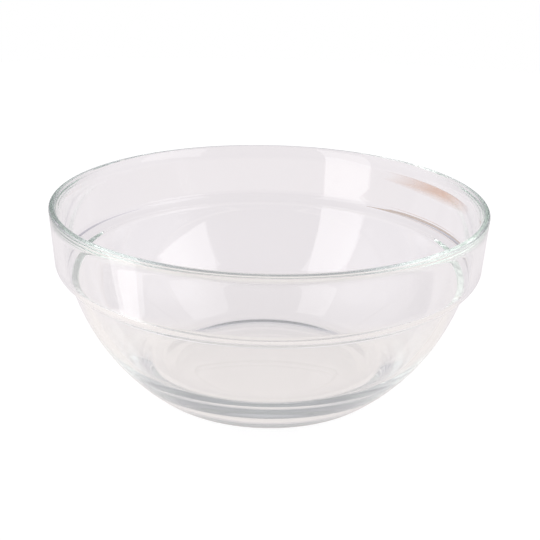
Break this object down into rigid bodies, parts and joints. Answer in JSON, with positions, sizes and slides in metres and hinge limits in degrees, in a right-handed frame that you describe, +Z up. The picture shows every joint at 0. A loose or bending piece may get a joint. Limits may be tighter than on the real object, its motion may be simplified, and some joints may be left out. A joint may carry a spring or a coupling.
{
  "type": "salad bowl",
  "caption": "Round stacking salad bowl of clear pressed glass, with an upright band, rounded rim, stacking shoulder, ledge inside, round lower wall and flat base.",
  "frame": {"origin": "middle of the base, on the surface that the bowl stands on", "axes": "+Z up along the bowl's own axis; X and Y are free, because the bowl is round"},
  "size_m": [0.23, 0.23, 0.104],
  "materials": {
    "clear_glass": "fire-polished pressed soda-lime glass, clear with a faint green edge"
  },
  "bodies": {
    "root": {"bowl": "clear_glass"}
  },
  "joints": []
}
